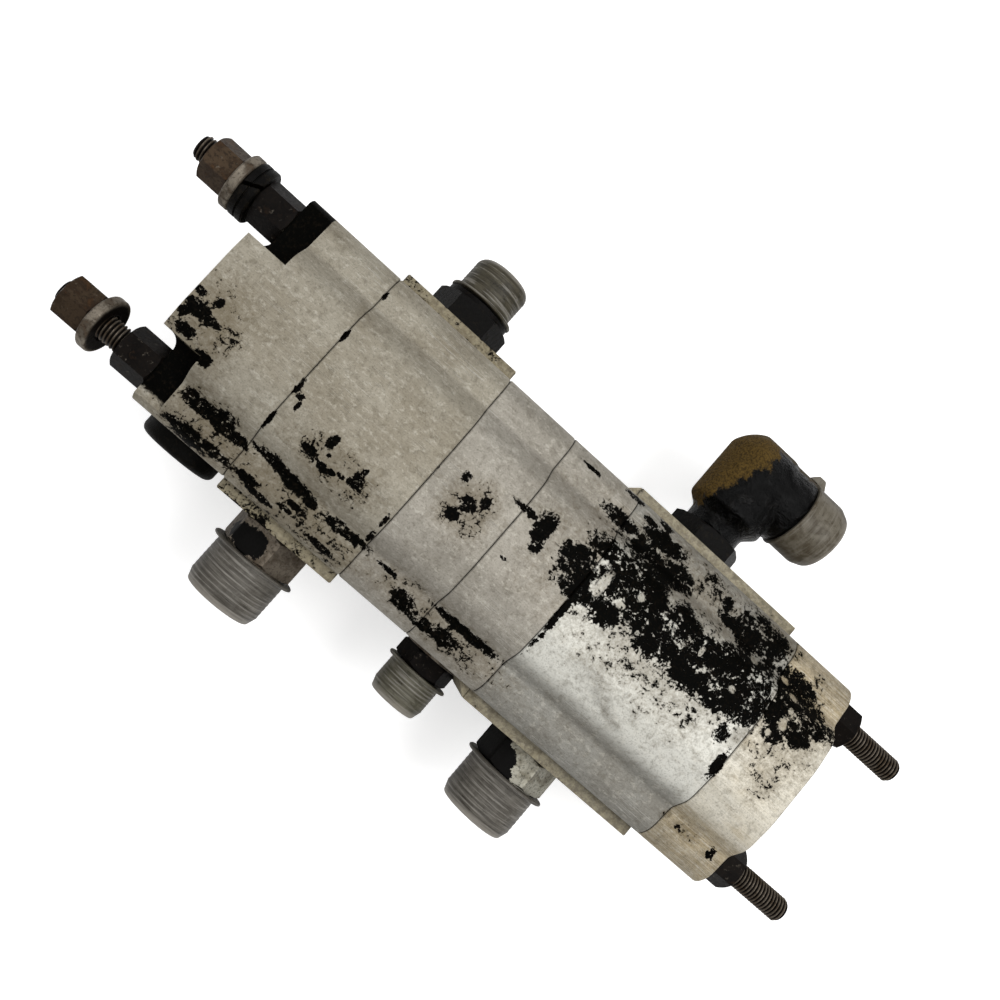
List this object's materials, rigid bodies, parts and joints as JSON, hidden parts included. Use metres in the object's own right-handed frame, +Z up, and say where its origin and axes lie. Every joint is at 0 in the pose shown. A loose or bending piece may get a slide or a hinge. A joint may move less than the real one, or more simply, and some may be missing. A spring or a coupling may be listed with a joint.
{
  "type": "tandem_gear_pump",
  "caption": "Used tandem gear oil pump: an aluminium block stack on long tie studs, capped port fittings on both sides and an elbow on the rear delivery port.",
  "frame": {"origin": "centre of the nose face, where the pump meets the machine that drives it", "axes": "+X from the drive end to the rear along the shafts, +Y to the delivery side, +Z up, the drive shaft above the idler"},
  "size_m": [0.3526, 0.2035, 0.12],
  "materials": {
    "block_aluminium": "machined from extruded bar, worn and oil stained",
    "stud_steel": "threaded full length, dark and oily",
    "nut_steel": "plain hexagon, dark with oil and a little rust",
    "washer_steel": "plain, worn",
    "shaft_steel": "ground",
    "bearing_aluminium": "machined",
    "bush_bronze": "bored",
    "seal_rubber": "moulded",
    "plug_black": "moulded, oily",
    "fitting_steel": "dark with oil, plating worn through in places",
    "cap_plastic": "thin moulded, cloudy"
  },
  "bodies": {
    "pump": {"bleed_screw": "nut_steel", "dowel_pins": "shaft_steel", "drain_block": "block_aluminium", "drain_fitting": "fitting_steel", "elbow": "fitting_steel", "elbow_lock_nut": "fitting_steel", "front_bearing_blocks": "bearing_aluminium", "front_bearing_bushes": "bush_bronze", "front_clamp_nuts": "nut_steel", "front_cover": "block_aluminium", "front_delivery_fitting": "fitting_steel", "front_lock_nuts": "nut_steel", "front_pressure_seals": "seal_rubber", "front_pump_body": "block_aluminium", "front_suction_fitting": "fitting_steel", "lower_tie_studs": "stud_steel", "middle_shaft_seals": "seal_rubber", "nose_shaft_seal": "seal_rubber", "rear_bearing_blocks": "bearing_aluminium", "rear_bearing_bushes": "bush_bronze", "rear_cover": "block_aluminium", "rear_nuts": "nut_steel", "rear_pressure_seals": "seal_rubber", "rear_pump_body": "block_aluminium", "rear_suction_fitting": "fitting_steel", "seal_circlip": "shaft_steel", "sealing_washers": "washer_steel", "seated_washer": "washer_steel", "section_seals": "seal_rubber", "side_plug": "plug_black", "spacer_block": "block_aluminium", "spring_washer": "washer_steel", "upper_tie_studs": "stud_steel"},
    "drive_train": {"drive_coupling": "shaft_steel", "front_drive_gear": "shaft_steel", "middle_coupling": "shaft_steel", "rear_drive_gear": "shaft_steel"},
    "front_idler": {"front_idler_gear": "shaft_steel"},
    "rear_idler": {"rear_idler_gear": "shaft_steel"},
    "front_suction_cap": {"front_suction_cap": "cap_plastic"},
    "rear_suction_cap": {"rear_suction_cap": "cap_plastic"},
    "front_delivery_cap": {"front_delivery_cap": "cap_plastic"},
    "drain_cap": {"drain_cap": "cap_plastic"},
    "elbow_cap": {"elbow_cap": "cap_plastic"},
    "loose_washer": {"loose_washer": "washer_steel"}
  },
  "joints": [
    {"name": "drive_spin", "type": "hinge", "parent": "pump", "child": "drive_train", "pos_m": [0.1, 0, 0.022], "axis": [1, 0, 0], "continuous": true},
    {"name": "front_idler_spin", "type": "hinge", "parent": "pump", "child": "front_idler", "pos_m": [0.0735, 0, -0.022], "axis": [1, 0, 0], "continuous": true},
    {"name": "rear_idler_spin", "type": "hinge", "parent": "pump", "child": "rear_idler", "pos_m": [0.208, 0, -0.022], "axis": [1, 0, 0], "continuous": true},
    {"name": "front_suction_cap_pull", "type": "slide", "parent": "pump", "child": "front_suction_cap", "axis": [0, -1, 0], "range_m": [0, 0.03]},
    {"name": "rear_suction_cap_pull", "type": "slide", "parent": "pump", "child": "rear_suction_cap", "axis": [0, -1, 0], "range_m": [0, 0.03]},
    {"name": "front_delivery_cap_pull", "type": "slide", "parent": "pump", "child": "front_delivery_cap", "axis": [0, 1, 0], "range_m": [0, 0.025]},
    {"name": "drain_cap_pull", "type": "slide", "parent": "pump", "child": "drain_cap", "axis": [0, -1, 0], "range_m": [0, 0.025]},
    {"name": "elbow_cap_pull", "type": "slide", "parent": "pump", "child": "elbow_cap", "axis": [1, 0, 0], "range_m": [0, 0.03]},
    {"name": "loose_washer_slide", "type": "slide", "parent": "pump", "child": "loose_washer", "axis": [1, 0, 0], "range_m": [0, 0.006]}
  ],
  "couplings": [
    {"joint": "front_idler_spin", "follows": "drive_spin", "ratio": -1},
    {"joint": "rear_idler_spin", "follows": "drive_spin", "ratio": -1}
  ]
}
